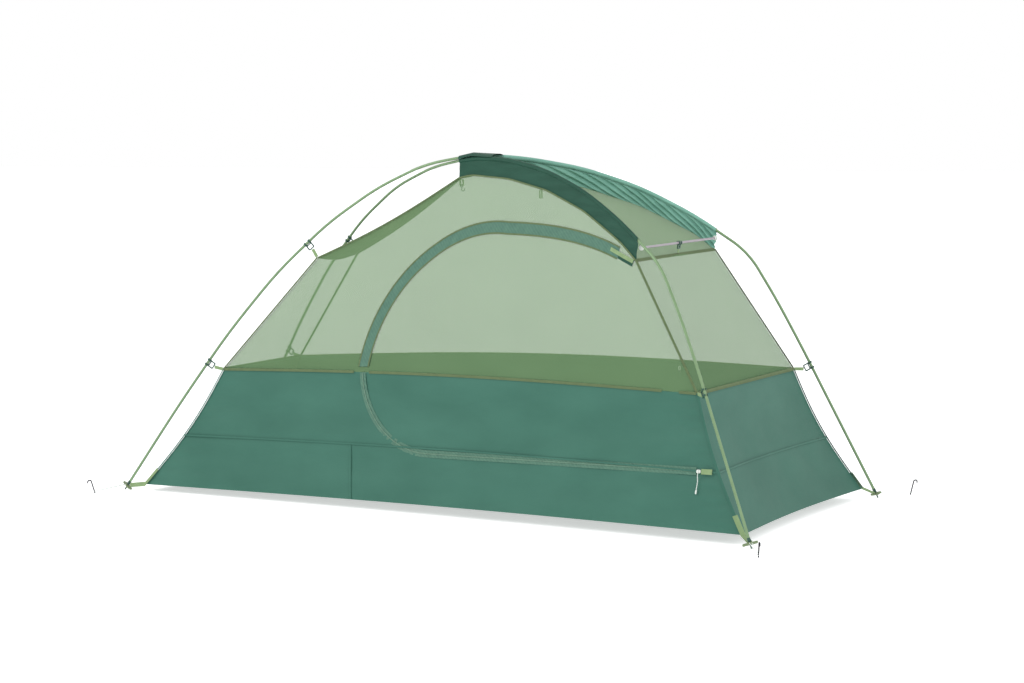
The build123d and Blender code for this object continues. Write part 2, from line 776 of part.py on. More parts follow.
with BuildPart() as lantern_hook:
    with BuildSketch(Plane.YZ.offset(hook_pivot.X - hook_rod)):
        with Locations((0, hook_pivot.Z - eye_height / 2 + 3.0 + hook_rod)):
            RectangleRounded(2 * eye_half + 2 * hook_rod, eye_height + hook_rod, 2.5)
            RectangleRounded(2 * eye_half, eye_height - hook_rod, 1.5, mode=Mode.SUBTRACT)
    extrude(amount=2 * hook_rod)
    add(hook_shank)
save(lantern_hook.part, "lantern_hook")

# A small loop on the near sleeve's edge, for a line to hang things from.
line_spot = between(band_feet[3], band_feet[2], 0.2) + Vector(0, 14, -4)
with BuildPart() as hang_loop:
    with BuildSketch(Plane.XZ.offset(-line_spot.Y)):
        with Locations((line_spot.X, line_spot.Z - hang_loop_height / 2)):
            RectangleRounded(8, hang_loop_height, 3)
            RectangleRounded(8 - 2 * strap_thickness, hang_loop_height - 2 * strap_thickness, 1.8,
                             mode=Mode.SUBTRACT)
    extrude(amount=6)
save(hang_loop.part, "hang_loop")

# Door tie: a toggle on a short elastic loop beside the head corner seam, inside the canopy.
tie_spot = between(tub_head, canopy_head, 0.2) + Vector(-22, 13, 0)
with BuildPart() as tie_loop:
    with BuildSketch(Plane.XZ.offset(-tie_spot.Y)):
        with Locations((tie_spot.X, tie_spot.Z - tie_loop_height / 2)):
            SlotOverall(tie_loop_height, 6, rotation=90)
            SlotOverall(tie_loop_height - 2.4, 3.6, rotation=90, mode=Mode.SUBTRACT)
    extrude(amount=2)
save(tie_loop.part, "door_tie_loop")
toggle_top = tie_spot - Vector(0, -1, tie_loop_height + 0.5)
with BuildPart() as tie_toggle:
    with BuildSketch(Plane.XZ.offset(-toggle_top.Y)):
        with BuildLine():
            edge = ThreePointArc((toggle_top.X + 2, toggle_top.Z),
                                 (toggle_top.X + 3, toggle_top.Z - toggle_length / 2),
                                 (toggle_top.X + 2, toggle_top.Z - toggle_length))
            Polyline(edge @ 0, (toggle_top.X, toggle_top.Z), (toggle_top.X, toggle_top.Z - toggle_length),
                     edge @ 1)
        make_face()
    revolve(axis=Axis((toggle_top.X, toggle_top.Y, 0), (0, 0, 1)))
save(tie_toggle.part, "door_tie_toggle")

# Bindings over the corner seams
seam_strips = []
for low, high in ((tub_foot, canopy_foot), (canopy_foot, ridge), (tub_head, canopy_head),
                  (base_foot, tub_foot), (base_head, tub_head)):
    run = (high - low).normalized()
    out = Vector(low.X, low.Y * 2, 0).normalized()
    across = run.cross(out).normalized()
    lifted = across.cross(run).normalized() * 2.2
    if lifted.dot(out) < 0:
        lifted = -lifted
    seam_strips.append(strip(low + lifted + run * 14, high + lifted - run * 8, 6.0, 0.8, across))
save_group(seam_strips + [far_copy(piece) for piece in seam_strips], "seam_bindings")

print("cord radii in mm:", "stake cords", cord_diameter / 2, "zip pull cord", pull_cord_diameter / 2)
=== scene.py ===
import bpy
import json
from math import cos, pi, radians, sin
from mathutils import Matrix, Vector, noise


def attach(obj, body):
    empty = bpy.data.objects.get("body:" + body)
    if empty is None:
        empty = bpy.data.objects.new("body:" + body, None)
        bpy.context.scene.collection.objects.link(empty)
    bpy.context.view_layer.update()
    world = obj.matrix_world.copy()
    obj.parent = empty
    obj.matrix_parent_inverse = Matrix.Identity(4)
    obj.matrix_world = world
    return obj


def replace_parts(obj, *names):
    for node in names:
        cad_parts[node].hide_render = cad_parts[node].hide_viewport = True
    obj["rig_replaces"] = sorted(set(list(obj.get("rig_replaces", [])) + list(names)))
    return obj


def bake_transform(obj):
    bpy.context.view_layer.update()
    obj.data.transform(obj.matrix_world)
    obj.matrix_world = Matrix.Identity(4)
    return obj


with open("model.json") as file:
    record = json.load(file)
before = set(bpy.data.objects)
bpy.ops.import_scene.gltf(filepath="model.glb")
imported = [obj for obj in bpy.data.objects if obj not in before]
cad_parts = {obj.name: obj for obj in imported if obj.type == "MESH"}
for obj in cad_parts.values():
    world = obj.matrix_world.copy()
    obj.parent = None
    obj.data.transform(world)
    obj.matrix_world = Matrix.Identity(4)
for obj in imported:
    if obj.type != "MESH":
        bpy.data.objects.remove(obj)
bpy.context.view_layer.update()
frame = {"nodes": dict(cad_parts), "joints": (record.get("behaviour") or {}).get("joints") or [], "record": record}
bpy.ops.object.select_all(action="DESELECT")
scene = bpy.context.scene
for leftover in ("Cube", "Camera", "Light"):
    if leftover in bpy.data.objects:
        bpy.data.objects.remove(bpy.data.objects[leftover])

# Camera
view = {"place": (3.871, -6.948, 1.255), "yaw": 28.51, "down": 5.51, "roll": -0.62, "lens": 90.67}
yaw, down, roll = (radians(view[key]) for key in ("yaw", "down", "roll"))
ahead = Vector((-sin(yaw) * cos(down), cos(yaw) * cos(down), -sin(down)))
right = ahead.cross(Vector((0, 0, 1))).normalized()
up = right.cross(ahead)
right, up = cos(roll) * right + sin(roll) * up, cos(roll) * up - sin(roll) * right
bpy.ops.object.camera_add()
camera = bpy.context.active_object
camera.matrix_world = Matrix((right, up, -ahead)).transposed().to_4x4()
camera.location = view["place"]
camera.data.lens = view["lens"]
camera.data.sensor_width = 36
camera.data.clip_end = 60
scene.camera = camera
print("camera placed")


# Shader maths
class Value:
    def __init__(self, tree, socket):
        self.tree, self.socket = tree, socket

    def combine(self, other, operation):
        made = addNode(self.tree, "ShaderNodeMath", settings={"operation": operation})
        for socket, value in zip(made.socket.node.inputs, (self, other)):
            if value is not None:
                feed(self.tree, socket, value)
        return made

    def __add__(self, other):
        return self.combine(other, "ADD")

    def __sub__(self, other):
        return self.combine(other, "SUBTRACT")

    def __mul__(self, other):
        return self.combine(other, "MULTIPLY")

    def sine(self):
        return self.combine(None, "SINE")


def feed(tree, socket, value):
    if isinstance(value, Value):
        tree.links.new(value.socket, socket)
    else:
        socket.default_value = value


def addNode(tree, kind, output=0, settings=None, **values):
    made = tree.nodes.new(kind)
    for key, value in (settings or {}).items():
        setattr(made, key, value)
    for key, value in values.items():
        feed(tree, made.inputs[key.replace("_", " ")], value)
    return Value(tree, made.outputs[output])


def mixColors(tree, share, first, second):
    # The color form of this node has its factor and two colors in these sockets.
    made = addNode(tree, "ShaderNodeMix", 2, {"data_type": "RGBA"})
    for place, value in ((0, share), (6, first), (7, second)):
        feed(tree, made.socket.node.inputs[place], value)
    return made


def linear(color):
    return tuple((part / 255) ** 2.2 for part in color) + (1,)


def newMaterial(name):
    material = bpy.data.materials.new(name)
    material.use_nodes = True
    tree = material.node_tree
    shader = tree.nodes["Principled BSDF"]
    place = addNode(tree, "ShaderNodeTexCoord", "Object")
    return material, tree, shader, place


def cloudy(tree, place, scale, detail=3.0, stretch=(1, 1, 1)):
    moved = addNode(tree, "ShaderNodeMapping", Vector=place, Scale=stretch)
    return addNode(tree, "ShaderNodeTexNoise", Vector=moved, Scale=scale, Detail=detail)


def clothMaterial(name, look):
    material, tree, shader, place = newMaterial(name)
    broad = cloudy(tree, place, look["foldScale"], 4.0, look.get("foldStretch", (1, 1, 1)))
    fine = cloudy(tree, place, 900.0, 1.0)
    share = (broad - 0.5) * look["contrast"] + 0.5
    feed(tree, shader.inputs["Base Color"],
         mixColors(tree, share, linear(look["dark"]), linear(look["light"])))
    feed(tree, shader.inputs["Roughness"], (fine - 0.5) * 0.1 + look["roughness"])
    shader.inputs["Sheen Weight"].default_value = look.get("sheen", 0.0)
    shader.inputs["Alpha"].default_value = look.get("alpha", 1.0)
    shader.inputs["Specular IOR Level"].default_value = 0.2
    height = broad * look["foldDepth"] + fine * 0.00004
    feed(tree, shader.inputs["Normal"],
         addNode(tree, "ShaderNodeBump", Height=height, Strength=look.get("bump", 0.5), Distance=1.0))
    return material


def ridgedMaterial(name, look):
    # Woven tape and webbing: close ribs across the run.
    material, tree, shader, place = newMaterial(name)
    parts = tree.nodes.new("ShaderNodeSeparateXYZ")
    feed(tree, parts.inputs[0], place)
    along = Value(tree, parts.outputs[0]) + Value(tree, parts.outputs[2])
    ribs = (along * look["ribs"]).sine()
    worn = cloudy(tree, place, 60.0)
    feed(tree, shader.inputs["Base Color"],
         mixColors(tree, worn + ribs * 0.12, linear(look["dark"]), linear(look["light"])))
    feed(tree, shader.inputs["Roughness"], worn * 0.1 + look["roughness"])
    feed(tree, shader.inputs["Normal"],
         addNode(tree, "ShaderNodeBump", Height=ribs * look["ribDepth"], Strength=0.6, Distance=1.0))
    return material


def hardMaterial(name, look):
    material, tree, shader, place = newMaterial(name)
    worn = cloudy(tree, place, look.get("scale", 40.0))
    feed(tree, shader.inputs["Base Color"],
         mixColors(tree, worn, linear(look["dark"]), linear(look["light"])))
    feed(tree, shader.inputs["Roughness"], (worn - 0.5) * 0.15 + look["roughness"])
    shader.inputs["Metallic"].default_value = look.get("metal", 0.0)
    feed(tree, shader.inputs["Normal"],
         addNode(tree, "ShaderNodeBump", Height=worn * 0.0002, Strength=0.3, Distance=1.0))
    return material


fabricLooks = {
    "mesh": {"light": (120, 151, 110), "dark": (108, 140, 99), "contrast": 1.0, "roughness": 0.9,
             "foldScale": 5.0, "foldDepth": 0.003, "alpha": 0.59, "bump": 0.15},
    "meshRoof": {"light": (112, 142, 102), "dark": (104, 134, 94), "contrast": 1.0, "roughness": 0.9,
                 "foldScale": 5.0, "foldDepth": 0.003, "alpha": 0.8, "bump": 0.15},
    "tub_cloth": {"light": (64, 108, 94), "dark": (52, 94, 81), "contrast": 1.6, "roughness": 0.55,
                  "foldScale": 4.0, "foldStretch": (1, 1, 2.0), "foldDepth": 0.010, "sheen": 0.05},
    "floor_cloth": {"light": (58, 84, 70), "dark": (46, 70, 58), "contrast": 1.2, "roughness": 0.6,
                    "foldScale": 5.0, "foldDepth": 0.006},
    # sleeve_cloth and the copy after it are one cloth in two tones: sleeve_cloth, on the near band, is painted
    # darker as shade, and the lighter copy, on the far band, is painted light.
    "sleeve_cloth": {"light": (42, 80, 66), "dark": (30, 66, 53), "contrast": 1.4, "roughness": 0.5,
                     "foldScale": 16.0, "foldStretch": (0.6, 1, 3.0), "foldDepth": 0.006},
    "sleevePaintedLit": {"light": (128, 176, 160), "dark": (103, 152, 136), "contrast": 1.4, "roughness": 0.5,
                    "foldScale": 16.0, "foldStretch": (0.6, 1, 3.0), "foldDepth": 0.006},
}
tapeLooks = {
    "binding": {"light": (98, 114, 80), "dark": (76, 92, 62), "ribs": 900.0, "ribDepth": 0.0002,
                "roughness": 0.85},
    "zip_tape": {"light": (86, 122, 104), "dark": (62, 98, 84), "ribs": 500.0, "ribDepth": 0.0004,
                 "roughness": 0.75},
    "webbing": {"light": (142, 166, 122), "dark": (112, 136, 94), "ribs": 1600.0, "ribDepth": 0.0004,
                "roughness": 0.85},
    "white_cord": {"light": (226, 232, 228), "dark": (190, 198, 192), "ribs": 3000.0,
                   "ribDepth": 0.0003, "roughness": 0.8},
    "zip_coil": {"light": (104, 140, 118), "dark": (70, 104, 88), "ribs": 2400.0, "ribDepth": 0.0006,
                 "roughness": 0.45},
}
hardLooks = {
    "pole_alloy": {"light": (126, 152, 115), "dark": (105, 131, 96), "roughness": 0.35, "metal": 0.4},
    "spreader_alloy": {"light": (172, 164, 172), "dark": (146, 138, 146), "roughness": 0.35, "metal": 0.5},
    "dark_plastic": {"light": (36, 82, 68), "dark": (20, 56, 46), "roughness": 0.38},
    "bar_plastic": {"light": (112, 130, 92), "dark": (88, 106, 70), "roughness": 0.5},
    "pale_plastic": {"light": (226, 230, 224), "dark": (200, 206, 200), "roughness": 0.4},
    "stake_metal": {"light": (46, 42, 50), "dark": (26, 24, 30), "roughness": 0.4, "metal": 0.5},
}
materials = {name: clothMaterial(name, look) for name, look in fabricLooks.items()}
materials.update({name: ridgedMaterial(name, look) for name, look in tapeLooks.items()})
materials.update({name: hardMaterial(name, look) for name, look in hardLooks.items()})
slotOf = {part["node"]: part["material_slot"] for part in frame["record"]["subparts"]}
for nodeName, part in frame["nodes"].items():
    part.data.materials.clear()
    part.data.materials.append(materials[slotOf[nodeName]])
print("materials made")


# Shared shape of the tent's sides, on the near side, worked out from the frame
def surfacePoints(nodeName):
    node = frame["nodes"][nodeName]
    return [node.matrix_world @ vertex.co for vertex in node.data.vertices]


def cornerOf(nodeName, across, up):
    # The middle of the cloth's thickness at the corner that lies farthest that way.
    aim = Vector((across, 0, up))
    points = surfacePoints(nodeName)
    tip = max(points, key=lambda point: point.dot(aim))
    beside = [point for point in points if (point - tip).length < cornerReach]
    return sum(beside, Vector()) / len(beside)


def edgesOf(nodeNames):
    ends = []
    for nodeName in nodeNames:
        points = surfacePoints(nodeName)
        ends += [[points[end] for end in edge.vertices] for edge in frame["nodes"][nodeName].data.edges]
    return ends


def crossingsAt(ends, across):
    # Where these edges pass one place along the tent.
    passing = [(first, last) for first, last in ends if (first.x - across) * (last.x - across) < 0]
    return [first.lerp(last, (across - first.x) / (last.x - first.x)) for first, last in passing]


cornerReach = 0.008
corner = {
    "baseHead": cornerOf("tub_near_lower", 1, -1), "baseFoot": cornerOf("tub_near_lower", -1, -1),
    "tubHead": cornerOf("tub_near_upper", 1, 1), "tubFoot": cornerOf("tub_near_upper", -1, 1),
    "canopyHead": cornerOf("canopy_near_panel", 0.76, 0.65),
    "canopyFoot": cornerOf("canopy_near_panel", -0.63, 0.76),
    "ridge": cornerOf("canopy_near_panel", -0.34, 0.94),
}
bandEdges = edgesOf(["near_sleeve_band"])
bandSteps = 14
bandFeet = [corner["ridge"]]
for step in range(1, bandSteps):
    across = corner["ridge"].x + (corner["canopyHead"].x - corner["ridge"].x) * step / bandSteps
    bandFeet.append(min(crossingsAt(bandEdges, across), key=lambda point: point.z))
bandFeet.append(corner["canopyHead"])
sides = {"baseBow": 0.020, "headLift": 0.030, "footLift": 0.019, "middleLift": 0.004, "edgeBow": 0.016,
         "farEdgeBow": 0.025, "ridgeSag": 0.014, "hollow": 0.005, "seamShare": 0.43, "cornerBow": 0.018}


def between(first, last, share):
    return first + (last - first) * share


def mirrored(place):
    return Vector((place.x, -place.y, place.z))


def alongLine(points, share):
    lengths = [(b - a).length for a, b in zip(points, points[1:])]
    left = min(max(share, 0.0), 1.0) * sum(lengths)
    for first, last, length in zip(points, points[1:], lengths):
        if left <= length:
            return between(first, last, left / length)
        left -= length
    return points[-1].copy()


def baseEdge(share):
    place = between(corner["baseFoot"], corner["baseHead"], share)
    arch = sin(pi * share)
    lift = sides["footLift"] + (sides["headLift"] - sides["footLift"]) * share
    return place + Vector((0, sides["baseBow"] * arch, lift + sides["middleLift"] * arch))


def tubEdge(share, bow=None):
    place = between(corner["tubFoot"], corner["tubHead"], share)
    return place + Vector((0, 0, (bow or sides["edgeBow"]) * sin(pi * share)))


def rounded(points, share=0.4):
    # A line with its corners rounded off.
    dense = [points[0]]
    for before, here, after in zip(points, points[1:], points[2:]):
        cut = share * min((before - here).length, (after - here).length)
        first = here + (before - here).normalized() * cut
        last = here + (after - here).normalized() * cut
        for step in range(7):
            t = step / 6
            dense.append(first * (1 - t) ** 2 + here * 2 * t * (1 - t) + last * t * t)
    return dense + [points[-1]]


bandFeet = rounded(bandFeet)
canopyLine = [corner["canopyFoot"]] + bandFeet
ridgeShare = (corner["ridge"] - corner["canopyFoot"]).length
ridgeShare /= sum((b - a).length for a, b in zip(canopyLine, canopyLine[1:]))


def canopyEdge(share):
    place = alongLine(canopyLine, share)
    if share < ridgeShare:
        place.z -= sides["ridgeSag"] * sin(pi * share / ridgeShare)
    return place


def tubPlace(share, rise, bow=None):
    place = between(baseEdge(share), tubEdge(share, bow), rise)
    place.y += 0.006 * sin(pi * rise)
    place.x += sides["cornerBow"] * sin(pi * rise) * (1 - 2 * share)
    return place


def canopyPlace(share, rise, bow=None):
    place = between(tubEdge(share, bow), canopyEdge(share), rise)
    place.y += sides["hollow"] * sin(pi * share) * sin(pi * rise)
    return place


def sidePlace(x, z):
    # The point of the near side with this X and Z.
    for surface in (tubPlace, canopyPlace):
        low, high = 0.0, 1.0
        for step in range(22):
            share = (low + high) / 2
            foot, head = surface(share, 0.0), surface(share, 1.0)
            rise = (z - foot.z) / (head.z - foot.z)
            if surface(share, rise).x < x:
                low = share
            else:
                high = share
        if rise <= 1.0 or surface is canopyPlace:
            return surface(share, min(max(rise, 0.0), 1.0))


def sideOut(x, z):
    here = sidePlace(x, z)
    out = (sidePlace(x + 0.01, z) - here).cross(sidePlace(x, z + 0.01) - here).normalized()
    return out if out.y < 0 else -out


# Doorway outline, as X and Z
hinge = next(joint for joint in frame["joints"] if joint["name"] == "door_swing")["pos_m"]
doorway = {"bottom": (hinge[0], hinge[2]), "turn": (-0.021, 0.1790), "front": (-0.283, 0.441),
           "crown": (0.160, 0.849), "top": (0.590, 0.790), "fall": 0.36, "corner": 0.262,
           "sillSteps": 60, "turnSteps": 24, "frontSteps": 36, "topSteps": 24}


def doorOutline():
    bottom, turn, front, crown, top = (Vector(doorway[key]) for key in
                                       ("bottom", "turn", "front", "crown", "top"))
    sill = doorway["sillSteps"]
    points = [between(bottom, turn, step / sill) for step in range(sill)]
    radius = doorway["corner"]
    for step in range(doorway["turnSteps"]):
        angle = -pi / 2 - pi / 2 * step / doorway["turnSteps"]
        points.append(Vector((turn.x + radius * cos(angle), front.y + radius * sin(angle))))
    dx, dz = crown - front
    wide = (dx * dx + dz * dz) / (2 * dx)
    sweep = abs(Vector((-1, 0)).angle(crown - front - Vector((wide, 0))))
    for step in range(doorway["frontSteps"]):
        angle = pi - sweep * step / doorway["frontSteps"]
        points.append(Vector((front.x + wide + wide * cos(angle), front.y + wide * sin(angle))))
    reach = (top - crown).length / 3
    inner = crown + Vector((reach, 0))
    outer = top - Vector((1, -doorway["fall"])).normalized() * reach
    for step in range(doorway["topSteps"] + 1):
        t = step / doorway["topSteps"]
        points.append(crown * (1 - t) ** 3 + inner * 3 * t * (1 - t) ** 2
                      + outer * 3 * t * t * (1 - t) + top * t ** 3)
    return points


outline = doorOutline()


def nearestOnDoor(x, z):
    # How far outside the doorway a point is, and the nearest point of its edge.
    here = Vector((x, z))
    best, spot, inside = 1e9, None, False
    for first, last in zip(outline, outline[1:] + outline[:1]):
        run = last - first
        share = min(max((here - first).dot(run) / max(run.length_squared, 1e-12), 0.0), 1.0)
        close = first + run * share
        gap = (here - close).length
        if gap < best:
            best, spot = gap, close
        if (first.y > z) != (last.y > z) and x < first.x + (z - first.y) * run.x / run.y:
            inside = not inside
    return (-best if inside else best), spot


# Building helpers
def finishPiece(obj, name, slotName, body="tent", standsFor=()):
    obj.name = name
    obj.data.name = name
    obj.data.materials.clear()
    obj.data.materials.append(materials[slotName])
    for face in obj.data.polygons:
        face.use_smooth = True
    if body:
        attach(obj, body)
    if standsFor:
        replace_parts(obj, *standsFor)
    obj.select_set(False)
    return obj


def gridPiece(across, along, place):
    # A grid laid out by a function of two shares.
    bpy.ops.mesh.primitive_grid_add(x_subdivisions=across, y_subdivisions=along, size=1.0)
    obj = bpy.context.active_object
    for vertex in obj.data.vertices:
        vertex.co = place(vertex.co.x + 0.5, vertex.co.y + 0.5)
    obj.data.update()
    return obj


def deleteFaces(obj, wrong):
    for vertex in obj.data.vertices:
        vertex.select = False
    for edge in obj.data.edges:
        edge.select = False
    for face in obj.data.polygons:
        face.select = wrong(face.center)
    bpy.ops.object.mode_set(mode="EDIT")
    bpy.ops.mesh.delete(type="FACE")
    bpy.ops.object.mode_set(mode="OBJECT")


def fitToDoor(obj, reach, keepInside):
    # Grid points close to the doorway's edge move onto it, and one side of it is kept.
    for vertex in obj.data.vertices:
        gap, spot = nearestOnDoor(vertex.co.x, vertex.co.z)
        if abs(gap) < reach:
            vertex.co = sidePlace(spot.x, spot.y)
    deleteFaces(obj, lambda middle: (nearestOnDoor(middle.x, middle.z)[0] < 0) != keepInside)
    return obj


def flipFar(obj, name, slotName, standsFor=()):
    # The same piece on the far side.
    bpy.ops.object.select_all(action="DESELECT")
    obj.select_set(True)
    bpy.context.view_layer.objects.active = obj
    bpy.ops.object.duplicate()
    copy = bpy.context.active_object
    copy.parent = None
    for vertex in copy.data.vertices:
        vertex.co.y = -vertex.co.y
    copy.data.flip_normals()
    if "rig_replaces" in copy:
        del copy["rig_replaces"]
    return finishPiece(copy, name, slotName, standsFor=standsFor)


def ripple(place, scale, depth, seed=0.0):
    return depth * noise.noise(Vector((place.x, place.y, place.z + seed)) * scale)


# Tub
tub = {"cellsAlong": 150, "cellsUp": 34, "puckerDepth": 0.0035, "foldDepth": 0.004,
       "doorReach": 0.004}


def tubSkin(share, rise, bow=None):
    place = tubPlace(share, rise, bow)
    seam = rise - sides["seamShare"]
    fold = ripple(Vector((place.x * 2.2, 0, place.z * 6)), 2.0, tub["foldDepth"])
    ends = max(0.0, 1 - min(share, 1 - share) / 0.09)
    pucker = tub["puckerDepth"] * ends * sin(70 * rise + 22 * share)
    dip = -0.0022 * max(0.0, 1 - abs(seam) / 0.03)
    edge = min(1.0, min(rise, 1 - rise) / 0.06) * min(1.0, min(share, 1 - share) / 0.015)
    place.y -= (fold + pucker) * edge + dip
    return place


nearTub = gridPiece(tub["cellsAlong"], tub["cellsUp"], tubSkin)
fitToDoor(nearTub, tub["doorReach"], False)
finishPiece(nearTub, "nearTubWall", "tub_cloth", standsFor=("tub_near_lower", "tub_near_upper"))
farTub = gridPiece(tub["cellsAlong"], tub["cellsUp"],
                   lambda share, rise: mirrored(tubSkin(share, rise, sides["farEdgeBow"])))
farTub.data.flip_normals()
finishPiece(farTub, "farTubWall", "tub_cloth", standsFor=("tub_far_wall",))


def endSkin(base, top):
    def place(share, rise):
        low = between(base, mirrored(base), share)
        high = between(top, mirrored(top), share) + Vector((0, 0, 0.004 * sin(pi * share)))
        spot = between(low, high, rise)
        inward = -1 if base.x > 0 else 1
        edge = min(1.0, min(rise, 1 - rise) / 0.06) * min(1.0, min(share, 1 - share) / 0.02)
        onTub = top.z < 0.5
        spot.x += edge * ripple(spot, 6.0, 0.003)
        spot.x += inward * sin(pi * rise) * (sides["cornerBow"] if onTub else 0.004 * sin(pi * share))
        if onTub:
            spot.x += inward * 0.020 * sin(pi * share) * (1 - rise)
            spot.z += (sides["headLift"] if base.x > 0 else sides["footLift"]) * (1 - rise)
            spot.y -= 0.006 * sin(pi * rise) * (2 * share - 1)
        return spot
    return place


for end in ("Head", "Foot"):
    wall = gridPiece(60, 30, endSkin(corner["base" + end], corner["tub" + end]))
    finishPiece(wall, f"tub{end}Wall", "tub_cloth", standsFor=(f"tub_{end.lower()}_wall",))


def floorSkin(share, rise):
    place = between(baseEdge(share), mirrored(baseEdge(share)), rise)
    edge = min(1.0, min(share, 1 - share) / 0.02) * min(1.0, min(rise, 1 - rise) / 0.03)
    rim = 1 - min(1.0, min(share, 1 - share) / 0.13, min(rise, 1 - rise) / 0.32)
    place.x -= 0.020 * sin(pi * rise) * (2 * share - 1) * (abs(2 * share - 1) ** 8)
    place.z = 0.0015 + (place.z - 0.0015) * rim + 0.0035 * edge * abs(noise.noise(place * 5.0))
    return place


floorPiece = gridPiece(120, 40, floorSkin)
finishPiece(floorPiece, "floorCloth", "floor_cloth", standsFor=("floor_panel",))
print("tub made")

# Canopy
canopy = {"cellsAlong": 190, "cellsUp": 80, "rippleDepth": 0.0022, "doorReach": 0.0025}


def canopySkin(share, rise, bow=None):
    place = canopyPlace(share, rise, bow)
    edge = min(1.0, min(rise, 1 - rise) / 0.05) * min(1.0, min(share, 1 - share) / 0.03)
    gather = max(0.0, 1 - rise / 0.5) * 0.5 + 0.5
    place.y -= edge * gather * ripple(Vector((place.x * 3, 0, place.z)), 4.0, canopy["rippleDepth"])
    return place


nearCanopy = gridPiece(canopy["cellsAlong"], canopy["cellsUp"], canopySkin)
fitToDoor(nearCanopy, canopy["doorReach"], False)
finishPiece(nearCanopy, "nearCanopyMesh", "mesh", standsFor=("canopy_near_panel",))
farCanopy = gridPiece(canopy["cellsAlong"], canopy["cellsUp"],
                      lambda share, rise: mirrored(canopySkin(share, rise, sides["farEdgeBow"])))
farCanopy.data.flip_normals()
finishPiece(farCanopy, "farCanopyMesh", "mesh", standsFor=("canopy_far_panel",))
for end in ("Head", "Foot"):
    panel = gridPiece(30, 40, endSkin(corner["tub" + end], corner["canopy" + end]))
    finishPiece(panel, f"canopy{end}Mesh", "mesh", standsFor=(f"canopy_{end.lower()}_panel",))


def roofSkin(share, rise):
    edge = alongLine(bandFeet, share)
    place = between(edge, mirrored(edge), rise)
    place.z -= 0.004 * sin(pi * rise) * share
    return place


def ridgeSkin(share, rise):
    edge = canopyEdge(share * ridgeShare)
    place = between(edge, mirrored(edge), rise)
    lip = sin(pi * rise)
    place.z -= 0.012 * lip * (1 - share) - 0.002 * lip * sin(50 * share)
    return place


roofPiece = gridPiece(80, 24, roofSkin)
finishPiece(roofPiece, "roofMesh", "mesh", standsFor=("canopy_roof_panel",))
roofPiece.data.materials[0] = materials["meshRoof"]
ridgePiece = gridPiece(60, 16, ridgeSkin)
finishPiece(ridgePiece, "ridgeCloth", "binding", standsFor=("canopy_ridge_panel",))
print("canopy made")

# Door: on the real tent it bends at the hinge line, where it is sewn to the side; here its panels are cut from the
# side and the hinge line is found
hingeLow, hingeHigh = sidePlace(*doorway["bottom"]), sidePlace(*doorway["top"])
hingeAxis = (hingeHigh - hingeLow).normalized()
hingeMiddle = between(hingeLow, hingeHigh, 0.5)
fromHinge = sidePlace(hingeMiddle.x - 0.2, hingeMiddle.z) - hingeMiddle
fromHinge = (fromHinge - hingeAxis * fromHinge.dot(hingeAxis)).normalized()


def hangOnDoor(obj):
    bpy.context.view_layer.update()
    obj.parent = None
    hingeMiddle - fromHinge * 0.002
    hingeMiddle + fromHinge * 0.03
    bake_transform(obj)


doorMesh = gridPiece(canopy["cellsAlong"], canopy["cellsUp"], canopySkin)
fitToDoor(doorMesh, canopy["doorReach"], True)
finishPiece(doorMesh, "doorMesh", "mesh", body=None, standsFor=("door_mesh_panel",))
doorTub = gridPiece(tub["cellsAlong"], tub["cellsUp"], tubSkin)
fitToDoor(doorTub, tub["doorReach"], True)
finishPiece(doorTub, "doorTubCloth", "tub_cloth", body=None, standsFor=("door_tub_panel",))
for panel in (doorMesh, doorTub):
    hangOnDoor(panel)
print("door panels made")


# Tapes laid on the near side along a path of X and Z
def sideStrip(path, first, last, lift, across=4, rough=0.0, step=0.008):
    line = [Vector((point[0], 0, point[1])) for point in path]
    length = sum((b - a).length for a, b in zip(line, line[1:]))
    count = max(2, int(length / step))

    def place(share, side):
        here = alongLine(line, share)
        run = (alongLine(line, share + 0.004) - alongLine(line, share - 0.004)).normalized()
        away = Vector((run.z, 0, -run.x))
        spot = here + away * (first + (last - first) * side)
        wave = rough * sin(share * length * 260) * (0.6 + 0.4 * noise.noise(spot * 30))
        return sidePlace(spot.x, spot.z) + sideOut(spot.x, spot.z) * (lift + wave)
    return gridPiece(count, across, place)


# The last three entries place a dark strip of sleeve cloth just below the tab: a painted shadow of the tab.
zipTab = {"run": [(0.560, 0.801), (0.646, 0.768)], "half": 0.006, "lift": 0.0030,
          "shadowRun": [(0.592, 0.790), (0.648, 0.768)], "shadowEdges": (-0.004, 0.016), "shadowLift": 0.0020}
tabEnd = sideStrip(zipTab["run"], -zipTab["half"], zipTab["half"], zipTab["lift"], 3)
finishPiece(tabEnd, "zipTopTab", "webbing")
# A dark strip of sleeve cloth below the top tab: painted shadow cast by the tab.
tabShadow = sideStrip(zipTab["shadowRun"], *zipTab["shadowEdges"], zipTab["shadowLift"], 3)
finishPiece(tabShadow, "zipTopPaintedShadow", "sleeve_cloth")
edgeHeight = tubEdge(0.33).z
flapPath = [tuple(point) for point in outline if point.y > edgeHeight and point.x < 0.595]
zipSizes = {"flapHalf": 0.020, "flapLift": 0.0016, "edgeWidth": 0.005, "tapeWidth": 0.009,
            "coilHalf": 0.0018, "coilLift": 0.0026}
flap = sideStrip(flapPath, -zipSizes["flapHalf"], zipSizes["flapHalf"], zipSizes["flapLift"], 8, 0.0006)
finishPiece(flap, "doorZipFlap", "zip_tape", body=None, standsFor=("door_zip_flap",))
hangOnDoor(flap)
for name, side in (("flapOuterEdge", -1), ("flapInnerEdge", 1)):
    middle = side * (zipSizes["flapHalf"] - zipSizes["edgeWidth"] / 2)
    half = zipSizes["edgeWidth"] / 2
    edge = sideStrip(flapPath, middle - half, middle + half, zipSizes["flapLift"] + 0.0006, 2)
    finishPiece(edge, name, "binding", body=None)
    hangOnDoor(edge)
tubPath = [tuple(point) for point in outline if point.y <= edgeHeight + 0.004 and point.x < 0.93]
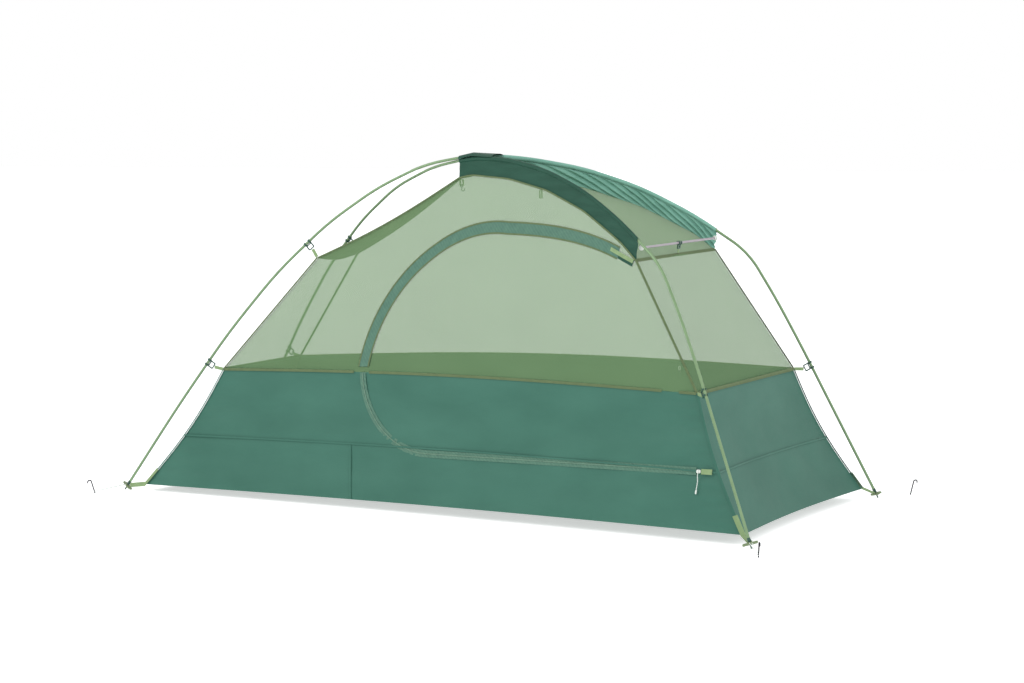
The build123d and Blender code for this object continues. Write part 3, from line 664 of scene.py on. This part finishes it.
for name, side, body, node in (("frameZipTape", -1, "tent", "zip_frame_tape"),
                               ("doorZipTape", 1, "door", "door_zip_tape")):
    inner = side * zipSizes["coilHalf"]
    outer = side * (zipSizes["coilHalf"] + zipSizes["tapeWidth"])
    tape = sideStrip(tubPath, min(inner, outer), max(inner, outer), 0.0014, 3, 0.0004, 0.005)
    finishPiece(tape, name, "zip_tape", body=None if body == "door" else body, standsFor=(node,))
    if body == "door":
        hangOnDoor(tape)
coil = sideStrip(tubPath, -zipSizes["coilHalf"], zipSizes["coilHalf"], zipSizes["coilLift"], 2, 0.0003, 0.004)
finishPiece(coil, "zipCoilRun", "zip_coil", standsFor=("zip_coil",))
print("zip made")


# Bindings and seams
def linePiece(points, outs, width, lift, across=2, step=0.01, rough=0.0):
    length = sum((b - a).length for a, b in zip(points, points[1:]))

    def place(share, side):
        here = alongLine(points, share)
        run = (alongLine(points, min(share + 0.01, 1)) - alongLine(points, max(share - 0.01, 0))).normalized()
        out = outs.normalized()
        over = run.cross(out).normalized()
        out = over.cross(run).normalized()
        wave = rough * sin(share * length * 300)
        return here + over * width * (side - 0.5) + out * (lift + wave)
    return gridPiece(max(2, int(length / step)), across, place)


bindings = {"cornerWidth": 0.007, "edgeWidth": 0.008, "seamWidth": 0.005, "seamLift": 0.0034,
            "endWidth": 0.010}
seamRuns = []
for end in ("Foot", "Head"):
    seamRuns.append((f"canopy{end}Corner", [corner["tub" + end], corner["canopy" + end]],
                     bindings["cornerWidth"]))
    share = 0.0 if end == "Foot" else 1.0
    seamRuns.append((f"tub{end}Corner", [tubPlace(share, step / 12) for step in range(13)],
                     bindings["cornerWidth"]))
seamRuns.append(("tubSeam", [tubPlace(step / 30, sides["seamShare"]) for step in range(31)],
                 bindings["seamWidth"]))
seamRuns.append(("tubTopEdge", [tubEdge(step / 30) for step in range(31)], bindings["edgeWidth"]))
seamRuns.append(("ridgeEdge", [canopyEdge(ridgeShare * step / 20) for step in range(21)],
                 bindings["seamWidth"]))
seamRuns.append(("bandFootEdge", bandFeet, bindings["seamWidth"]))
doorGap = 0.018
for name, points, width in seamRuns:
    out = Vector((points[0].x * 0.6, -1, 0.15)) if "Corner" in name else Vector((0, -1, 0.2))
    paint = "tub_cloth" if name.startswith("tub") and name != "tubTopEdge" else "binding"
    if name == "tubTopEdge":
        pieces = [[p for p in points if nearestOnDoor(p.x, p.z)[0] > doorGap and p.x < 0],
                  [p for p in points if nearestOnDoor(p.x, p.z)[0] > 0 and p.x > 0.6]]
        far = [mirrored(tubEdge(step / 30, sides["farEdgeBow"])) for step in range(31)]
        farEdge = linePiece(far, Vector((0, 1, 0.2)), width, 0.002)
        finishPiece(farEdge, "farTubTopEdge", "binding")
        inside = [p for p in points if nearestOnDoor(p.x, p.z)[0] < -0.004]
        doorEdge = linePiece(inside, out, width, 0.0022)
        finishPiece(doorEdge, "doorTubEdge", "binding", body=None)
        hangOnDoor(doorEdge)
    else:
        pieces = [points]
    for place, line in enumerate(pieces):
        strip = linePiece(line, out, width, bindings["seamLift"])
        finishPiece(strip, f"near{name}{place}", paint)
        if name != "tubTopEdge":
            flipFar(strip, f"far{name}{place}", paint)
upright = {"share": 0.371, "lean": 0.0042, "height": 0.42, "steps": 8, "width": 0.006}
uprightLine = [tubPlace(upright["share"] - upright["lean"] * step,
                        step / upright["steps"] * upright["height"])
               for step in range(upright["steps"] + 1)]
uprightSeam = linePiece(uprightLine, Vector((0, -1, 0.2)), upright["width"], bindings["seamLift"])
finishPiece(uprightSeam, "tubUprightSeam", "tub_cloth")
headShape = endSkin(corner["baseHead"], corner["tubHead"])
headSeam = linePiece([headShape(step / 16, sides["seamShare"]) for step in range(17)], Vector((1, 0, 0.2)),
                     bindings["seamWidth"], bindings["seamLift"])
finishPiece(headSeam, "headSeam", "tub_cloth")
cornerStrap = {"width": 0.015, "lift": 0.0042, "rises": (0.0, 0.06, 0.13),
               "Head": (1.098, -0.480, 0.013), "Foot": (-1.120, -0.334, 0.014)}
for end, share in (("Head", 1.0), ("Foot", 0.0)):
    run = [Vector(cornerStrap[end])] + [tubPlace(share, rise) for rise in cornerStrap["rises"]]
    strap = linePiece(run, Vector((run[1].x * 0.6, -1, 0.3)), cornerStrap["width"], cornerStrap["lift"])
    finishPiece(strap, f"near{end}CornerStrap", "webbing", standsFor=("corner_tabs",))
    flipFar(strap, f"far{end}CornerStrap", "webbing")
headRoof = linePiece([corner["canopyHead"], mirrored(corner["canopyHead"])], Vector((1, 0, 0.5)),
                     bindings["endWidth"], 0.002)
finishPiece(headRoof, "roofHeadEdge", "binding", standsFor=("seam_bindings",))
for end in ("Head", "Foot"):
    top = corner["tub" + end]
    strip = linePiece([top, mirrored(top)], Vector((top.x, 0, 0.2)), bindings["endWidth"], 0.004)
    finishPiece(strip, f"tub{end}TopEdge", "binding")
print("bindings made")

# Sleeve bands: they hang from the poles, and their top wraps the pole
bandLooks = {"near": {"depth": 0.0022, "waves": 11.0, "slant": -1.6, "cells": (170, 30), "grow": 1.0,
                      "pole": "low_pole"},
             "far": {"depth": 0.0085, "waves": 15.0, "slant": 2.6, "cells": (240, 30), "grow": 0.5,
                     "pole": "high_pole"}}
sleeve = {"radius": 0.0068, "wrapFrom": 0.72, "wrapTurn": 1.9 * pi, "steps": 24}


def bandTop(side):
    # The middle of the pole, from the crossing to the sleeve's end.
    pole = edgesOf([nodeName for nodeName in frame["nodes"] if nodeName.startswith(bandLooks[side]["pole"])])
    start, end = corner["ridge"].x, max(point.x for point in surfacePoints("near_sleeve_band")) - 0.001
    line = []
    for step in range(sleeve["steps"] + 1):
        across = start + (end - start) * step / sleeve["steps"]
        ring = crossingsAt(pole, across)
        depths, heights = [point.y for point in ring], [point.z for point in ring]
        depth = (min(depths) + max(depths)) / 2
        line.append(Vector((across, depth if side == "near" else -depth, (min(heights) + max(heights)) / 2)))
    return line


bandTops = {side: bandTop(side) for side in bandLooks}


def bandSkin(side):
    look = bandLooks[side]

    def place(share, rise):
        low, middle = alongLine(bandFeet, share), alongLine(bandTops[side], share)
        if rise > sleeve["wrapFrom"]:
            turn = sleeve["wrapTurn"] * (rise - sleeve["wrapFrom"]) / (1 - sleeve["wrapFrom"]) - pi / 2
            return middle + sleeve["radius"] * Vector((0, -cos(turn), sin(turn)))
        rise = rise / sleeve["wrapFrom"]
        spot = between(low, middle - Vector((0, 0, sleeve["radius"])), rise)
        edge = min(1.0, min(rise, 1 - rise) / 0.12) * (1 - look["grow"] * (1 - share))
        wander = 2.5 * noise.noise(spot * 5.0)
        wave = sin(2 * pi * (look["waves"] * share + look["slant"] * rise) + wander)
        fine = noise.noise(Vector((spot.x * 14, 3.0, spot.z * 30)))
        spot.y -= edge * look["depth"] * (0.7 * wave + 0.5 * fine)
        return spot
    return place


nearBand = gridPiece(*bandLooks["near"]["cells"], bandSkin("near"))
finishPiece(nearBand, "nearSleeveBand", "sleeve_cloth", standsFor=("near_sleeve_band", "pole_sleeves"))
farShape = bandSkin("far")
farBand = gridPiece(*bandLooks["far"]["cells"], lambda share, rise: mirrored(farShape(share, rise)))
farBand.data.flip_normals()
finishPiece(farBand, "farSleeveBand", "sleeve_cloth", standsFor=("far_sleeve_band",))
# The far band takes the lighter copy of the sleeve cloth: painted light, for its inside face lit from above.
farBand.data.materials[0] = materials["sleevePaintedLit"]
hood = {"xs": (-0.080, -0.030, 0.055), "tops": (1.0630, 1.0732, 1.0692), "halves": (0.012, 0.022, 0.044)}


def hoodSkin(share, side):
    step = 0 if share < 0.5 else 1
    part = share * 2 - step
    x, top, half = (hood[key][step] + (hood[key][step + 1] - hood[key][step]) * part
                    for key in ("xs", "tops", "halves"))
    over = 2 * side - 1
    return Vector((x, half * over, top - 0.010 * abs(over) ** 3))


hoodPiece = gridPiece(20, 16, hoodSkin)
finishPiece(hoodPiece, "crossingHood", "sleeve_cloth", standsFor=("crossing_hood",))
print("sleeve bands made")


# Cords
def cordCurve(name, points, radius, slotName, body, standsFor):
    bpy.ops.curve.primitive_nurbs_path_add()
    obj = bpy.context.active_object
    obj.data.splines.clear()
    spline = obj.data.splines.new("NURBS")
    spline.points.add(len(points) - 1)
    for knot, place in zip(spline.points, points):
        knot.co = (*place, 1.0)
    spline.order_u = 3
    spline.use_endpoint_u = True
    obj.data.dimensions = "3D"
    obj.data.bevel_depth = radius
    obj.data.bevel_resolution = 3
    obj.data.resolution_u = 8
    obj.name = name
    obj.data.materials.clear()
    obj.data.materials.append(materials[slotName])
    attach(obj, body)
    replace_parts(obj, standsFor)
    obj.select_set(False)
    return obj


bpy.ops.object.select_all(action="DESELECT")
stakeCords = {
    "Head": [(1.1081, -0.4955, 0.0187), (1.1778, -0.6029, 0.0067), (1.1721, -0.6066, 0.0067),
             (1.1024, -0.4992, 0.0187)],
    "Foot": [(-1.1315, -0.3444, 0.0178), (-1.1764, -0.4505, 0.0067), (-1.1827, -0.4479, 0.0067),
             (-1.1377, -0.3417, 0.0178)],
}
for end, route in stakeCords.items():
    for side, points in (("near", route), ("far", [(x, -y, z) for x, y, z in route])):
        name = f"{side}{end}StakeCord"
        guy = cordCurve(name, points, 0.0010, "white_cord", "tent", f"{side}_{end.lower()}_stake_cord")
        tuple(points[0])
pullRoute = [(0.9095, -0.4151, 0.1866), (0.9090, -0.4162, 0.1799), (0.9103, -0.4172, 0.1719),
             (0.9106, -0.4186, 0.1630), (0.9092, -0.4203, 0.1532), (0.9086, -0.4227, 0.1434)]
pull = cordCurve("zipPullCord", pullRoute, 0.0012, "white_cord", "zip_pull", "zip_pull_cord")
print("cords made")

# Floor and light
stageLooks = {"size": 60.0, "color": (238, 239, 240), "glow": 0.55, "lamp": 95.0, "fill": 34.0, "sky": 1.0,
              "lampPlace": (-2.5, -4.5, 4.5), "fillPlace": (4.5, -2.0, 3.0), "aim": (0, 0, 0.4)}
bpy.ops.mesh.primitive_plane_add(size=stageLooks["size"])
ground = bpy.context.active_object
ground.name = "groundPlane"
paper = newMaterial("paper")[0]
paperShader = paper.node_tree.nodes["Principled BSDF"]
paperShader.inputs["Base Color"].default_value = linear(stageLooks["color"])
paperShader.inputs["Roughness"].default_value = 0.9
paperShader.inputs["Emission Color"].default_value = (1, 1, 1, 1)
paperShader.inputs["Emission Strength"].default_value = stageLooks["glow"]
paperShader.inputs["Specular IOR Level"].default_value = 0.1
ground.data.materials.append(paper)
ground.location.z = -0.0005


def softLight(name, place, aim, size, power):
    bpy.ops.object.light_add(type="AREA", location=place)
    light = bpy.context.active_object
    light.name = name
    light.rotation_mode = "QUATERNION"
    light.rotation_quaternion = (Vector(aim) - Vector(place)).to_track_quat("-Z", "Y")
    light.data.size = size
    light.data.energy = power
    light.select_set(False)


softLight("keyLight", stageLooks["lampPlace"], stageLooks["aim"], 2.5, stageLooks["lamp"])
softLight("fillLight", stageLooks["fillPlace"], stageLooks["aim"], 3.0, stageLooks["fill"])
world = scene.world or bpy.data.worlds.new("sky")
scene.world = world
world.use_nodes = True
world.node_tree.nodes["Background"].inputs["Color"].default_value = (1, 1, 1, 1)
world.node_tree.nodes["Background"].inputs["Strength"].default_value = stageLooks["sky"]
scene.view_settings.view_transform = "Standard"
scene.view_settings.look = "None"
print("stage made")
